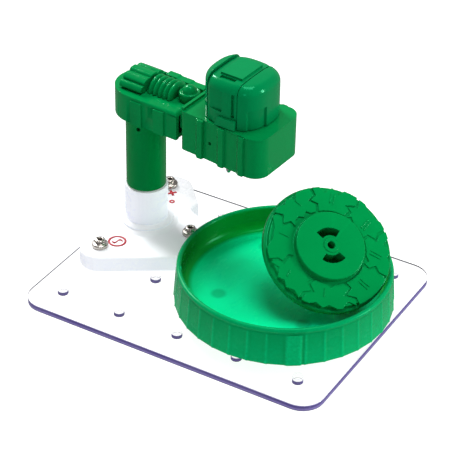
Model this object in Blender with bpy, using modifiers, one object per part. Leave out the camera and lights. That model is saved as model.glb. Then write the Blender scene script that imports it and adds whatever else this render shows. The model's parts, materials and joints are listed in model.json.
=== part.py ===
"""Toy SCARA-type arm on a clear grid plate, with its round tray and spinner.

Axes: +X along the plate's front edge, +Y towards its back, +Z up.
The origin is the centre of the plate's underside.
"""
import math

import bmesh
import bpy
from mathutils import Matrix, Vector

MM = 0.001                      # the dimensions below are in millimetres

# Grid plate: five by four moulded posts on the kit's pitch
PITCH = 27.94
POSTS_X, POSTS_Y = 5, 4
PLATE_X, PLATE_Y, PLATE_T = 138.7, 109.9, 3.0
PLATE_CORNER = 9.5
POST_R, POST_TOP = 2.3, 6.0

GAP = 0.3                       # clearance between neighbouring pieces

# Tower: its base plate, studs and swivelling column
COLUMN_X, COLUMN_Y = -50.21, 13.97
STUDS = {"left": (-2, -0.5), "back": (-2, 1.5), "right": (-1, 0.5)}
BASE_TOP = 10.3
SLEEVE_R, SLEEVE_BORE, SLEEVE_TOP = 9.3, 7.4, 29.6
COLUMN_R, COLUMN_BORE = 8.6, 5.2

# Arm: both housings share one centre line, turned a little from +X
ARM_TURN = math.radians(-4.2)
UPPER_BOTTOM, UPPER_TOP = 65.7, 78.2
UPPER_HALF, UPPER_END = 13.4, 25.0
PAD = 0.6                       # how far the panels stand out of the upper arm's sides
WALL = 1.8
DECK = UPPER_TOP + GAP
ELBOW = 22.5                    # distance of the elbow from the column
FORE_START, FORE_END = 27.3, 67.8
FORE_BOTTOM, FORE_TOP = 63.0, 81.0

# Drive: motor upright in the head, one gear stage to the spindle
HEAD = 48.0                     # distance of the head and motor from the column
HEAD_R, HEAD_TOP = 13.35, 100.7
SPINDLE = 42.5                  # distance of the spindle from the column
MODULE, PINION_TEETH, GEAR_TEETH = 0.5, 8, 14

# Tray
TRAY_X, TRAY_Y = 26.1, -0.1
TRAY_R_TOP, TRAY_R_BOTTOM = 44.6, 45.9
TRAY_BOTTOM, TRAY_RIM = POST_TOP + GAP, 23.2
TRAY_FLOOR_TOP, TRAY_FLOOR = 13.0, 1.8

# Spinner, leaning in the tray on its tip and its rim
SPINNER_AT = (42.9, 4.2, 34.4)  # centre of the rim's upper face
SPINNER_TILT, SPINNER_TOWARDS = math.radians(36.2), math.radians(-32.6)
SPINNER_R, SPINNER_T = 27.2, 2.8
SPINNER_HUB_R, SPINNER_HUB, SPINNER_STEP = 14.7, 4.5, 1.6
SPINNER_TIP = 25.8
WINDOW_TURN = -10.5             # degrees from the disc's lowest point

GREEN = (0.0, 0.115, 0.032)
DARK_GREEN = (0.0, 0.075, 0.018)
TRAY_GREEN = (0.0, 0.26, 0.085)
WHITE = (0.83, 0.84, 0.86)
CLEAR = (0.93, 0.93, 0.97)
NICKEL = (0.60, 0.57, 0.53)
STEEL = (0.55, 0.56, 0.58)
BRASS = (0.78, 0.58, 0.25)
NYLON = (0.80, 0.79, 0.74)
BLACK = (0.02, 0.02, 0.02)


# ---------------------------------------------------------------- helpers

def clear_scene():
    """Remove the objects the file opens with."""
    for obj in list(bpy.data.objects):
        bpy.data.objects.remove(obj, do_unlink=True)


def new_collection(name):
    collection = bpy.data.collections.new(name)
    bpy.context.scene.collection.children.link(collection)
    return collection


clear_scene()
PARTS = new_collection("scara_arm")
CUTTERS = new_collection("cutters")


def material(name, colour, roughness=0.35, metallic=0.0, alpha=1.0):
    """One Principled material."""
    mat = bpy.data.materials.new(name)
    mat.use_nodes = True
    shader = mat.node_tree.nodes["Principled BSDF"]
    shader.inputs["Base Color"].default_value = (*colour, 1.0)
    shader.inputs["Roughness"].default_value = roughness
    shader.inputs["Metallic"].default_value = metallic
    shader.inputs["Alpha"].default_value = alpha
    return mat


def axis_empty(name, location, parent=None, rotation=None):
    """An empty that stands on a joint's axis; location in millimetres."""
    empty = bpy.data.objects.new(name, None)
    PARTS.objects.link(empty)
    empty.parent = parent
    empty.location = Vector(location) * MM
    if rotation is not None:
        empty.rotation_euler = rotation.to_euler()
    empty.empty_display_size = 0.01
    return empty


def add_object(name, mesh, parent=None, collection=None):
    obj = bpy.data.objects.new(name, mesh)
    (collection or PARTS).objects.link(obj)
    obj.parent = parent
    return obj


def finish(obj, colour, roughness=0.35, metallic=0.0, alpha=1.0):
    """Give a part its material and smooth shading across gentle angles."""
    obj.data.materials.append(material(obj.name, colour, roughness, metallic, alpha))
    obj.data.shade_smooth()
    obj.data.set_sharp_from_angle(angle=math.radians(35))
    return obj


def arc(cx, cy, radius, start, end, steps):
    """Points on an arc, angles in degrees."""
    points = []
    for i in range(steps + 1):
        angle = math.radians(start + (end - start) * i / steps)
        points.append((cx + radius * math.cos(angle), cy + radius * math.sin(angle)))
    return points


def rounded(corners, steps=5):
    """Closed outline through corners (x, y, fillet radius); a radius of 0 stays sharp."""
    outline = []
    count = len(corners)
    for i, (x, y, radius) in enumerate(corners):
        here = Vector((x, y))
        if radius <= 0:
            outline.append((x, y))
            continue
        back = (Vector(corners[i - 1][:2]) - here).normalized()
        ahead = (Vector(corners[(i + 1) % count][:2]) - here).normalized()
        half = back.angle(ahead) / 2
        centre = here + (back + ahead).normalized() * (radius / math.sin(half))
        first = here + back * (radius / math.tan(half)) - centre
        last = here + ahead * (radius / math.tan(half)) - centre
        turn = first.angle_signed(last)
        for k in range(steps + 1):
            spoke = Matrix.Rotation(-turn * k / steps, 2) @ first
            outline.append(tuple(centre + spoke))
    return outline


def mirrored(side):
    """Close an outline whose lower half is given from left to right."""
    upper = [(x, -y, r) for x, y, r in reversed(side)]
    return list(side) + upper


def prism(name, outline, low, high, parent=None, along="Z", collection=None, soft_top=0.0,
          soft_steps=2):
    """Extrude a flat outline between two heights, along Z or along X.

    Along X, the outline's own x and y become +Y and +Z.
    """
    curve = bpy.data.curves.new(name, "CURVE")
    curve.dimensions = "2D"
    curve.fill_mode = "BOTH"
    curve.extrude = (high - low) / 2 * MM
    spline = curve.splines.new("POLY")
    spline.points.add(len(outline) - 1)
    for point, (x, y) in zip(spline.points, outline):
        point.co = (x * MM, y * MM, 0, 1)
    spline.use_cyclic_u = True
    guide = add_object(name, curve, collection=collection)
    bpy.context.view_layer.update()
    solid = guide.evaluated_get(bpy.context.evaluated_depsgraph_get())
    mesh = bpy.data.meshes.new_from_object(solid)
    bpy.data.objects.remove(guide, do_unlink=True)
    bm = bmesh.new()
    bm.from_mesh(mesh)
    bmesh.ops.remove_doubles(bm, verts=bm.verts, dist=1e-6)
    bmesh.ops.dissolve_limit(bm, angle_limit=math.radians(0.5), verts=bm.verts, edges=bm.edges)
    bmesh.ops.recalc_face_normals(bm, faces=bm.faces)
    bmesh.ops.translate(bm, vec=(0, 0, (low + high) / 2 * MM), verts=bm.verts)
    if soft_top > 0:
        top = high * MM
        rim = [e for e in bm.edges if all(abs(v.co.z - top) < 1e-6 for v in e.verts)]
        bmesh.ops.bevel(bm, geom=rim, offset=soft_top * MM, segments=soft_steps, profile=0.5,
                        affect="EDGES", clamp_overlap=True)
    if along == "X":
        swap = Matrix(((0, 0, 1), (1, 0, 0), (0, 1, 0)))
        bmesh.ops.transform(bm, matrix=swap.to_4x4(), verts=bm.verts)
    bm.to_mesh(mesh)
    bm.free()
    return add_object(name, mesh, parent, collection)


def box(name, low, high, parent=None, collection=None, soft=0.0):
    """A box between two corners, with its edges bevelled if soft."""
    size = [(b - a) * MM for a, b in zip(low, high)]
    middle = [(a + b) / 2 * MM for a, b in zip(low, high)]
    bm = bmesh.new()
    bmesh.ops.create_cube(bm, size=1)
    bmesh.ops.scale(bm, vec=size, verts=bm.verts)
    bmesh.ops.translate(bm, vec=middle, verts=bm.verts)
    if soft > 0:
        bmesh.ops.bevel(bm, geom=bm.edges, offset=soft * MM, segments=1, affect="EDGES")
    mesh = bpy.data.meshes.new(name)
    bm.to_mesh(mesh)
    bm.free()
    return add_object(name, mesh, parent, collection)


def add_cylinder(bm, radius, low, high, x=0.0, y=0.0, segments=24, tip=None):
    """Add an upright cylinder, or a cone where tip gives the upper radius."""
    place = Matrix.Translation(Vector((x, y, (low + high) / 2)) * MM)
    bmesh.ops.create_cone(bm, cap_ends=True, segments=segments, radius1=radius * MM,
                          radius2=(radius if tip is None else tip) * MM,
                          depth=(high - low) * MM, matrix=place)


def cylinders(name, places, radius, low, high, parent=None, segments=24, collection=None):
    """Upright cylinders of one size at several places, as one mesh."""
    bm = bmesh.new()
    for x, y in places:
        add_cylinder(bm, radius, low, high, x, y, segments)
    mesh = bpy.data.meshes.new(name)
    bm.to_mesh(mesh)
    bm.free()
    return add_object(name, mesh, parent, collection)


def turned(name, profile, parent=None, at=(0, 0, 0), segments=36, closed=False,
           collection=None):
    """Turn a profile of (radius, height) about the vertical through at.

    The profile runs down the outer side, so that the faces point out.
    """
    mesh = bpy.data.meshes.new(name)
    points = [(r * MM, 0, z * MM) for r, z in profile]
    edges = [(i, i + 1) for i in range(len(points) - 1)]
    if closed:
        edges.append((len(points) - 1, 0))
    mesh.from_pydata(points, edges, [])
    obj = add_object(name, mesh, parent, collection)
    obj.location = Vector(at) * MM
    screw = obj.modifiers.new("turn", "SCREW")
    screw.axis = "Z"
    screw.steps = screw.render_steps = segments
    screw.use_merge_vertices = True
    screw.merge_threshold = 1e-6
    return obj


def combine(obj, other, operation):
    """Boolean with a helper shape, which is kept out of the render."""
    for collection in list(other.users_collection):
        collection.objects.unlink(other)
    CUTTERS.objects.link(other)
    other.hide_render = True
    other.display_type = "WIRE"
    boolean = obj.modifiers.new(other.name, "BOOLEAN")
    boolean.operation = operation
    boolean.solver = "EXACT"
    boolean.object = other
    return obj


def cut(obj, *others):
    for other in others:
        combine(obj, other, "DIFFERENCE")


def join(obj, *others):
    for other in others:
        combine(obj, other, "UNION")


def grid(column, row):
    """Place on the post grid, counted from the plate's centre in pitches."""
    return column * PITCH, row * PITCH


# ------------------------------------------------------------- joint axes

SHOULDER_AXIS = axis_empty("shoulder_axis", (COLUMN_X, COLUMN_Y, 0),
                           rotation=Matrix.Rotation(ARM_TURN, 3, "Z"))
ELBOW_AXIS = axis_empty("elbow_axis", (ELBOW, 0, 0), SHOULDER_AXIS)
MOTOR_AXIS = axis_empty("motor_axis", (HEAD - ELBOW, 0, 0), ELBOW_AXIS)
SPINDLE_AXIS = axis_empty("spindle_axis", (SPINDLE - ELBOW, 0, 0), ELBOW_AXIS)
TRAY_AXIS = axis_empty("tray_axis", (TRAY_X, TRAY_Y, 0))
SPINNER_TURN = (Matrix.Rotation(SPINNER_TOWARDS, 3, "Z")
                @ Matrix.Rotation(SPINNER_TILT, 3, "Y"))
SPINNER_AXIS = axis_empty("spinner_axis", SPINNER_AT, rotation=SPINNER_TURN)


# ------------------------------------------------------------- grid plate

def build_plate():
    """Clear plate with its moulded posts."""
    x, y, r = PLATE_X / 2, PLATE_Y / 2, PLATE_CORNER
    outline = rounded([(-x, -y, r), (x, -y, r), (x, y, r), (-x, y, r)], steps=8)
    plate = prism("base_plate", outline, 0, PLATE_T, soft_top=0.4, soft_steps=1)
    places = []
    for i in range(POSTS_X):
        for j in range(POSTS_Y):
            places.append(grid(i - (POSTS_X - 1) / 2, j - (POSTS_Y - 1) / 2))
    join(plate, cylinders("posts", places, POST_R, PLATE_T - 1, POST_TOP, segments=14))
    finish(plate, CLEAR, roughness=0.08, alpha=0.35)


# ------------------------------------------------------------------ tower

def build_tower_base():
    """White base plate with three lobes, rising to a collar and a sleeve."""
    mid = COLUMN_Y
    outline = rounded([(-64.6, -30.1, 8.7), (-20.6, -1.5, 5.0), (-20.6, 22.5, 5.0),
                       (-30.5, 27.9, 3.0), (-34.8, 28.9, 2.0), (-38.5, 31.3, 1.0),
                       (-37.6, 36.6, 1.2), (-50.0, 50.6, 6.0), (-64.6, 50.6, 8.6)], steps=6)
    base = prism("tower_base", outline, PLATE_T + GAP, BASE_TOP, soft_top=1.6)
    sleeve = [(SLEEVE_R, SLEEVE_TOP), (SLEEVE_R, 13.2), (10.4, 13.2), (11.5, 12.4), (11.5, 11.6),
              (12.6, 11.1), (14.2, 10.0), (14.2, 9.1), (SLEEVE_BORE - 1, 9.1),
              (SLEEVE_BORE - 1, SLEEVE_TOP)]
    join(base, turned("sleeve", sleeve, at=(COLUMN_X, mid, 0), closed=True))
    bore = [(0, 40), (SLEEVE_BORE, 40), (SLEEVE_BORE, 8.6), (9.7, 8.6), (9.7, 2), (0, 2)]
    cut(base, turned("sleeve_bore", bore, at=(COLUMN_X, mid, 0)))
    places = [grid(*cell) for cell in STUDS.values()]
    cut(base, cylinders("socket_pockets", places, 4.6, 2, 7.7, segments=16))
    cut(base, cylinders("stud_holes", places, 1.5, 6, 12, segments=12))
    for name in ("left", "back"):
        cut(base, strip_box(name, "groove_" + name, 7.0, 8.7, 2.2, CUTTERS))
    finish(base, WHITE, roughness=0.3)


def strip_box(name, node, low, high, half_width, collection=None):
    """A straight bar from beside a stud's socket to the column's recess."""
    x, y = grid(*STUDS[name])
    towards = Vector((COLUMN_X - x, COLUMN_Y - y))
    near, far = (3.9, 19.5) if collection else (4.9, 17.6)
    bar = box(node, (near, -half_width, low), (far, half_width, high), collection=collection)
    bar.location = Vector((x, y, 0)) * MM
    bar.rotation_euler = (0, 0, math.atan2(towards.y, towards.x))
    return bar


def build_snaps():
    """Studs on the base, spring sockets below them, and contact strips."""
    stud = [(0, 13.0), (0.9, 13.0), (0.9, 14.0), (1.8, 14.0), (2.25, 13.6), (2.25, 12.9),
            (1.95, 12.4), (3.2, 12.0), (3.55, 11.2), (3.55, BASE_TOP + GAP),
            (1.2, BASE_TOP + GAP), (1.2, 8.0), (0, 8.0)]
    socket = [(4.2, 7.4), (4.2, 3.5), (2.65, 3.5), (2.65, 6.5), (0.9, 6.5), (0.9, 7.4)]
    for name, cell in STUDS.items():
        at = (*grid(*cell), 0)
        finish(turned("snap_stud_" + name, stud, at=at, segments=16), NICKEL, 0.22, 1.0)
        cup = turned("snap_socket_" + name, socket, at=at, segments=16, closed=True)
        finish(cup, NICKEL, 0.3, 1.0)
    for name in ("left", "back"):
        bar = strip_box(name, "contact_strip_" + name, 7.7, 8.3, 1.6)
        finish(bar, BRASS, 0.35, 1.0)


def build_column():
    """Swivelling tube, the ring that keeps it in, and the nut at its top."""
    tube = [(7.4, 71.0), (7.4, UPPER_BOTTOM - GAP), (COLUMN_R, UPPER_BOTTOM - GAP),
            (COLUMN_R, SLEEVE_TOP + GAP), (SLEEVE_BORE - GAP, SLEEVE_TOP + GAP),
            (SLEEVE_BORE - GAP, 8.4), (6.4, 8.4), (6.4, 7.3), (SLEEVE_BORE - GAP, 7.3),
            (SLEEVE_BORE - GAP, 6.6), (COLUMN_BORE, 6.6), (COLUMN_BORE, 71.0)]
    finish(turned("column_tube", tube, SHOULDER_AXIS, closed=True), DARK_GREEN, 0.25)
    ring = turned("retaining_ring", [(9.2, 8.2), (9.2, 7.5), (6.7, 7.5), (6.7, 8.2)],
                  SHOULDER_AXIS, segments=32, closed=True)
    cut(ring, box("ring_slot", (-12, -1.5, 6), (0, 1.5, 9), SHOULDER_AXIS))
    finish(ring, STEEL, 0.3, 1.0)
    nut = turned("column_nut", [(10.0, 70.6), (10.0, 67.8), (7.7, 67.8), (7.7, 70.6)],
                 SHOULDER_AXIS, segments=24, closed=True)
    finish(nut, BLACK, 0.4)


# -------------------------------------------------------------- upper arm

def upper_outline(inset=0.0, end=UPPER_END):
    """Round-ended outline of the upper arm, seen from above."""
    half = UPPER_HALF - PAD - inset
    return arc(0, 0, half, 90, 270, 20) + [(end, -half), (end, half)]


def side_ribs(body, name, spans, top, bottom, parent):
    """Join ribs (start, full, stop, inner half width, outer half width) on both sides."""
    for number, (start, full, stop, inner, outer) in enumerate(spans, 1):
        for sign in (-1, 1):
            plan = [(start, inner - 0.5), (start, inner), (full, outer), (stop, outer),
                    (stop + 0.3, inner - 0.5)]
            rib = prism("%s_%d%+d" % (name, number, sign), [(x, sign * y) for x, y in plan],
                        bottom, top, parent, soft_top=0.6, soft_steps=1)
            join(body, rib)


def build_upper_arm():
    """Top shell and bottom cover of the upper arm, with their screws."""
    shell = prism("upper_arm_shell", upper_outline(), UPPER_BOTTOM, UPPER_TOP, SHOULDER_AXIS,
                  soft_top=1.8, soft_steps=3)
    outer = UPPER_HALF
    spans = [(1.4, 2.0, 7.4, outer - PAD, outer), (12.9, 13.5, 18.7, outer - PAD, outer),
             (20.3, 20.9, 24.6, outer - PAD, outer)]
    side_ribs(shell, "pad", spans, UPPER_TOP - 1.4, UPPER_BOTTOM + 0.1, SHOULDER_AXIS)
    cut(shell, prism("upper_hollow", upper_outline(inset=WALL, end=UPPER_END + 5), 60,
                     UPPER_TOP - WALL, SHOULDER_AXIS))
    cut(shell, cylinders("upper_pin_hole", [(ELBOW, 0)], 2.3, 70, 80, SHOULDER_AXIS, 16))
    screws = [(13.0, -7.6), (13.0, 7.6)]
    join(shell, cylinders("upper_bosses", screws, 2.6, 68.0, 77.0, SHOULDER_AXIS, 12))
    cut(shell, cylinders("upper_pilots", screws, 1.3, 67.0, 75.5, SHOULDER_AXIS, 12))
    finish(shell, GREEN, 0.28)
    cover = prism("upper_arm_cover", upper_outline(inset=WALL + GAP, end=UPPER_END - 0.4),
                  UPPER_BOTTOM, 67.5, SHOULDER_AXIS)
    cut(cover, cylinders("cover_column_hole", [(0, 0)], 7.7, 60, 70, SHOULDER_AXIS, 36))
    add_screws("upper_arm_screw", cover, screws, UPPER_BOTTOM, SHOULDER_AXIS)
    finish(cover, GREEN, 0.35)


def add_screws(name, cover, places, low, parent):
    """Screws sunk into a cover's underside, one object each."""
    cut(cover, cylinders(name + "_sinks", places, 2.5, low - 1, low + 1.1, parent, 16))
    cut(cover, cylinders(name + "_holes", places, 1.4, low, low + 4, parent, 12))
    profile = [(0, low + 8.5), (1.0, low + 8.0), (1.0, low + 0.8), (2.1, low + 0.8),
               (2.1, low + 0.2), (0, low + 0.2)]
    for number, (x, y) in enumerate(places, 1):
        screw = turned("%s_%d" % (name, number), profile, parent, (x, y, 0), segments=12)
        finish(screw, STEEL, 0.3, 1.0)


def build_arm_details():
    """Actuator barrel, its bellows, the stepped rail and the elbow's cap."""
    section = []
    for i in range(25):
        angle = math.pi * i / 24
        flute = 1 - 0.10 * abs(math.sin(2.5 * angle)) ** 4
        section.append((9.6 * math.cos(angle) * flute, DECK + 6.0 * math.sin(angle) * flute))
    barrel = prism("actuator_barrel", section, -6.6, 4.4, SHOULDER_AXIS, along="X")
    finish(barrel, GREEN, 0.28)

    rings, pitch, low, high = 5, 2.45, 5.0, 6.6
    profile = []
    for i in range(rings):
        z = 5.2 + pitch * (rings - 1 - i)
        profile += [(low, z + pitch * 0.97), (high, z + pitch * 0.72), (high, z + pitch * 0.45),
                    (low, z + pitch * 0.2)]
    profile = [(0, profile[0][1])] + profile + [(0, profile[-1][1])]
    bellows = turned("bellows_boot", profile, SHOULDER_AXIS, (0, 0, 77.6), segments=24)
    bellows.rotation_euler = (0, math.pi / 2, 0)
    cut(bellows, box("bellows_half", (0, -10, 60), (30, 10, DECK), SHOULDER_AXIS))
    finish(bellows, GREEN, 0.3)

    steps = [(4.9, 81.0), (10.4, 81.0), (11.2, 80.5), (17.0, 80.5), (17.8, 80.0), (24.4, 80.0)]
    outline = [(4.9, DECK)] + steps + [(24.4, DECK)]
    rail = prism("side_rail", outline, -11.0, -7.2, SHOULDER_AXIS)
    rail.rotation_euler = (math.pi / 2, 0, 0)
    finish(rail, GREEN, 0.28)

    dome = [(0, 85.0)] + [(r, z) for r, z in
                          arc(0, 81.8, 3.2, 72, 0, 4)] + [
        (3.5, 81.7), (3.9, 82.1), (4.4, 81.7), (4.4, DECK), (0, DECK)]
    finish(turned("elbow_cap", dome, SHOULDER_AXIS, (ELBOW, 0, 0), 24), GREEN, 0.2)
    pin = [(0, UPPER_TOP), (2.0, UPPER_TOP), (2.0, 69.3), (3.6, 69.3), (3.6, 67.8), (0, 67.8)]
    finish(turned("elbow_pin", pin, SHOULDER_AXIS, (ELBOW, 0, 0), 24), STEEL, 0.25, 1.0)


# ---------------------------------------------------------------- forearm

def fore(points):
    """Move arm distances to the elbow's own frame."""
    return [(p[0] - ELBOW, *p[1:]) for p in points]


def build_forearm():
    """Ribbed shell with its tongue, bottom cover and screws."""
    side = [(FORE_START, -13.2, 2.0), (41.0, -13.8, 0), (FORE_END, -15.9, 6.5)]
    shell = prism("forearm_shell", rounded(fore(mirrored(side))), FORE_BOTTOM, FORE_TOP,
                  ELBOW_AXIS, soft_top=1.3)
    spans = fore([(35.0, 37.0, 39.3, 13.4, 15.2), (46.1, 47.8, 50.0, 14.3, 15.7),
                  (56.2, 57.8, 59.9, 15.0, 16.3)])
    spans = [(start, full - ELBOW, stop - ELBOW, inner, outer)
             for start, full, stop, inner, outer in spans]
    side_ribs(shell, "rib", spans, FORE_TOP - 0.2, FORE_BOTTOM + 0.1, ELBOW_AXIS)
    low, high = fore([(FORE_START, -12.4, 79.5)])[0], fore([(FORE_START + 1.3, 9.5, 82.2)])[0]
    join(shell, box("end_lip", low, high, ELBOW_AXIS, soft=0.3))
    inner = [(FORE_START + WALL, -11.5, 1.5), (55.0, -12.6, 0), (FORE_END - WALL, -13.6, 5.0)]
    cut(shell, prism("fore_hollow", rounded(fore(mirrored(inner))), 60, FORE_TOP - WALL,
                     ELBOW_AXIS))
    cut(shell, cylinders("motor_opening", fore([(HEAD, 0)]), 10.6, 76, 84, ELBOW_AXIS, 32))
    tongue = arc(0, 0, 6.0, 90, 270, 10) + fore([(FORE_START + 1, -6.0), (FORE_START + 1, 6.0)])
    join(shell, prism("tongue", tongue, 70.6, 75.4, ELBOW_AXIS))
    near, far = FORE_START - 2.6 - ELBOW, FORE_START + 1.0 - ELBOW
    join(shell, box("neck", (near, -9.6, 70.4), (far, 9.6, 76.0), ELBOW_AXIS))
    join(shell, box("neck_foot", (near + 2.2, -9.6, 67.9), (far, 9.6, 71.0), ELBOW_AXIS))
    cut(shell, cylinders("tongue_hole", [(0, 0)], 2.3, 69, 77, ELBOW_AXIS, 24))
    screws = fore([(33.0, -7.8), (33.0, 7.8), (62.4, -9.2), (62.4, 9.2)])
    join(shell, cylinders("fore_bosses", screws, 2.6, 65.6, 79.6, ELBOW_AXIS, 12))
    cut(shell, cylinders("fore_pilots", screws, 1.3, 64.0, 76.0, ELBOW_AXIS, 12))
    finish(shell, GREEN, 0.28)

    lid = [(FORE_START + WALL + GAP, -11.1, 1.2), (55.0, -12.2, 0),
           (FORE_END - WALL - GAP, -13.2, 4.7)]
    cover = prism("forearm_cover", rounded(fore(mirrored(lid))), FORE_BOTTOM, 65.2, ELBOW_AXIS)
    cut(cover, cylinders("bush_hole", fore([(SPINDLE, 0)]), 3.3, 60, 68, ELBOW_AXIS, 24))
    add_screws("forearm_screw", cover, screws, FORE_BOTTOM, ELBOW_AXIS)
    finish(cover, GREEN, 0.35)

    washer = turned("elbow_washer", [(4.2, 70.3), (4.2, 69.6), (2.3, 69.6), (2.3, 70.3)],
                    ELBOW_AXIS, segments=24, closed=True)
    finish(washer, NYLON, 0.5)


def build_head():
    """Cap over the motor in three slices, with the square pad on top."""
    cap = [(0, HEAD_TOP), (8.0, HEAD_TOP - 0.1), (11.3, 99.6), (12.9, 97.6), (HEAD_R, 95.0),
           (HEAD_R, FORE_TOP + GAP), (11.7, FORE_TOP + GAP), (11.7, 96.2), (10.4, 98.4),
           (0, 99.1)]
    slices = {"head_fin": (-20, -8.6, 13.6, 2.6, 1.2), "head_shell": (-8.2, 6.3, 13.4, 2.6, 0),
              "head_lobe": (6.7, 20, 15.0, 3.0, 0)}
    for name, (start, stop, reach, power, lift) in slices.items():
        piece = turned(name, cap, MOTOR_AXIS, segments=40)
        square_up(piece, reach / HEAD_R, power, lift)
        keep = box(name + "_slice", (start, -20, 70), (stop, 20, 110), MOTOR_AXIS)
        combine(piece, keep, "INTERSECT")
        if name == "head_shell":
            join(piece, box("pad_block", (-5.0, -7.1, 100.0), (5.0, 7.1, 101.5), MOTOR_AXIS,
                            soft=0.3))
            cut(piece, box("pad_slot", (-4.0, -9.0, 100.1), (2.6, -7.5, 103), MOTOR_AXIS))
            cut(piece, box("front_panel", (-7.0, -20, 87.5), (0.6, -12.2, 95.5), MOTOR_AXIS))
            cut(piece, box("front_slot", (4.2, -20, 86.0), (5.4, -12.0, 96.5), MOTOR_AXIS))
        finish(piece, GREEN, 0.28)


def square_up(obj, stretch, power, lift):
    """Turn a round outline into a rounded square, stretched along X; lift its upper part."""
    for vert in obj.data.vertices:
        x, y = vert.co.x, vert.co.y
        r = math.hypot(x, y)
        if r > 1e-6:
            grow = (abs(x / r) ** power + abs(y / r) ** power) ** (-1 / power)
            vert.co.x, vert.co.y = x * grow * stretch, y * grow
        if vert.co.z > 94 * MM:
            vert.co.z += lift * MM


# ------------------------------------------------------------------ drive

def gear_outline(teeth, addendum, phase):
    """Involute outline; phase is the angle of a tooth's middle."""
    pitch_r = MODULE * teeth / 2
    base_r = pitch_r * math.cos(math.radians(20))
    root_r, tip_r = pitch_r - 1.3 * MODULE, pitch_r + addendum
    backlash = 0.09 / pitch_r
    at_pitch = math.tan(math.radians(20)) - math.radians(20)
    half_pitch = math.pi / (2 * teeth) - backlash
    flank = [(root_r, half_pitch + at_pitch)]
    for i in range(4):
        r = max(base_r, root_r) + (tip_r - max(base_r, root_r)) * i / 3
        roll = math.acos(min(1.0, base_r / r))
        flank.append((r, half_pitch + at_pitch - (math.tan(roll) - roll)))
    points = []
    for tooth in range(teeth):
        middle = phase + 2 * math.pi * tooth / teeth
        for r, half in flank:
            points.append((r * math.cos(middle - half), r * math.sin(middle - half)))
        for r, half in reversed(flank):
            points.append((r * math.cos(middle + half), r * math.sin(middle + half)))
    return points


def build_drive():
    """Motor, pinion, gear, spindle with its bush, and the drive hub."""
    flats = arc(0, 0, 10.0, -130.5, -229.5, 8) + arc(0, 0, 10.0, 49.5, -49.5, 8)
    can = prism("motor_can", flats, 76.1, 96.0, MOTOR_AXIS)
    join(can, cylinders("motor_boss", [(0, 0)], 3.0, 74.6, 78.0, MOTOR_AXIS, 24))
    cut(can, cylinders("motor_bore", [(0, 0)], 1.3, 70.0, 80.0, MOTOR_AXIS, 16))
    finish(can, STEEL, 0.3, 1.0)
    small = [(x * 0.93, y * 0.93) for x, y in flats]
    finish(prism("motor_end_bell", small, 96.3, 98.3, MOTOR_AXIS), NYLON, 0.5)
    x0, x1 = fore([(37.0, 0), (59.0, 0)])[0][0], fore([(59.0, 0)])[0][0]
    corners = [(x0, -10.8, 2), (x1, -10.8, 2), (x1, 10.8, 2), (x0, 10.8, 2)]
    mount = prism("motor_mount", rounded(corners, 3), 74.0, 75.6, ELBOW_AXIS)
    cut(mount, cylinders("mount_hole", fore([(HEAD, 0)]), 3.3, 70, 80, ELBOW_AXIS, 24))
    finish(mount, BLACK, 0.5)

    shaft = turned("motor_shaft", [(0, 79.0), (1.0, 79.0), (1.0, 68.4), (0, 68.4)], MOTOR_AXIS,
                   segments=16)
    finish(shaft, STEEL, 0.2, 1.0)
    pinion = prism("pinion_gear", gear_outline(PINION_TEETH, 0.8 * MODULE, math.pi), 68.8, 73.0,
                   MOTOR_AXIS)
    cut(pinion, cylinders("pinion_bore", [(0, 0)], 1.1, 60, 80, MOTOR_AXIS, 16))
    finish(pinion, NYLON, 0.45)

    gear = prism("spur_gear", gear_outline(GEAR_TEETH, 0.5 * MODULE, math.pi / GEAR_TEETH),
                 69.4, 72.0, SPINDLE_AXIS)
    cut(gear, cylinders("gear_bore", [(0, 0)], 1.3, 60, 80, SPINDLE_AXIS, 16))
    finish(gear, NYLON, 0.45)
    rod = [(0, 72.4), (1.15, 72.4), (1.15, 51.6), (0.7, 50.6), (0, 50.6)]
    finish(turned("spindle", rod, SPINDLE_AXIS, segments=16), STEEL, 0.25, 1.0)
    hub = turned("drive_hub", [(8.0, 62.2), (8.0, 60.4), (1.4, 60.4), (1.4, 62.2)],
                 SPINDLE_AXIS, segments=32, closed=True)
    for sign in (1, -1):
        dog = arc(0, 0, 7.6, -24, 24, 4) + arc(0, 0, 5.3, 24, -24, 4)
        piece = prism("dog_%+d" % sign, [(sign * x, sign * y) for x, y in dog], 58.0, 61.0,
                      SPINDLE_AXIS)
        join(hub, piece)
    finish(hub, DARK_GREEN, 0.4)
    bush = [(3.0, 68.6), (3.0, 66.4), (4.4, 66.4), (4.4, 65.5), (3.0, 65.5), (3.0, 62.9),
            (1.45, 62.9), (1.45, 68.6)]
    finish(turned("spindle_bush", bush, ELBOW_AXIS, (SPINDLE - ELBOW, 0, 0), 24, True), BRASS,
           0.35, 1.0)


# ------------------------------------------------------- tray and spinner

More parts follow.
